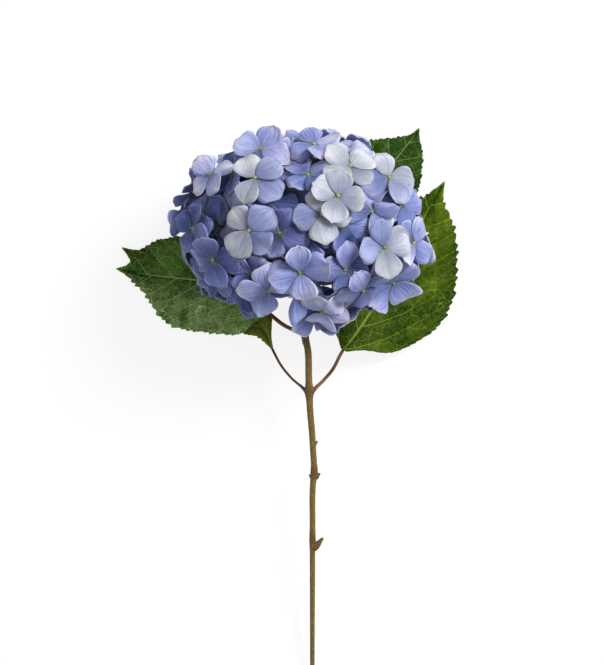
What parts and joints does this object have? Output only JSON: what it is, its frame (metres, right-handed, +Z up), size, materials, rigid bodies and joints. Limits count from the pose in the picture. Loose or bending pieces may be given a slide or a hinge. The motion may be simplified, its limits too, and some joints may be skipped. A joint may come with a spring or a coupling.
{
  "type": "cut hydrangea",
  "caption": "Cut mophead hydrangea lying on its back: a dense round bloom of blue and pale florets, serrated leaves and a slender woody stem.",
  "frame": {"origin": "middle of the whole cut stem's outline on the surface that it lies on", "axes": "+Y along the stem towards the bloom, +X to the right seen from above, +Z up from the surface"},
  "size_m": [0.2435, 0.4209, 0.1438],
  "materials": {
    "stem": "young olive-brown bark, darker at the nodes",
    "front_left_leaf": "satin deep green leaf with pale veins",
    "rear_left_leaf": "satin yellowish green leaf with pale veins",
    "right_leaf": "satin bright green leaf with pale veins",
    "upper_right_leaf": "satin deep green leaf with pale veins",
    "pale_petals": "soft matt greyish white petals with a trace of blue",
    "blue_petals": "soft matt periwinkle petals with fine veins"
  },
  "bodies": {
    "root": {"stem": "stem", "front_left_leaf": "front_left_leaf", "rear_left_leaf": "rear_left_leaf", "right_leaf": "right_leaf", "upper_right_leaf": "upper_right_leaf", "pale_floret_1": "pale_petals", "pale_floret_2": "pale_petals", "pale_floret_3": "pale_petals", "pale_floret_4": "pale_petals", "pale_floret_5": "pale_petals", "pale_floret_6": "pale_petals", "pale_floret_7": "pale_petals", "flower_head": "blue_petals"}
  },
  "joints": []
}
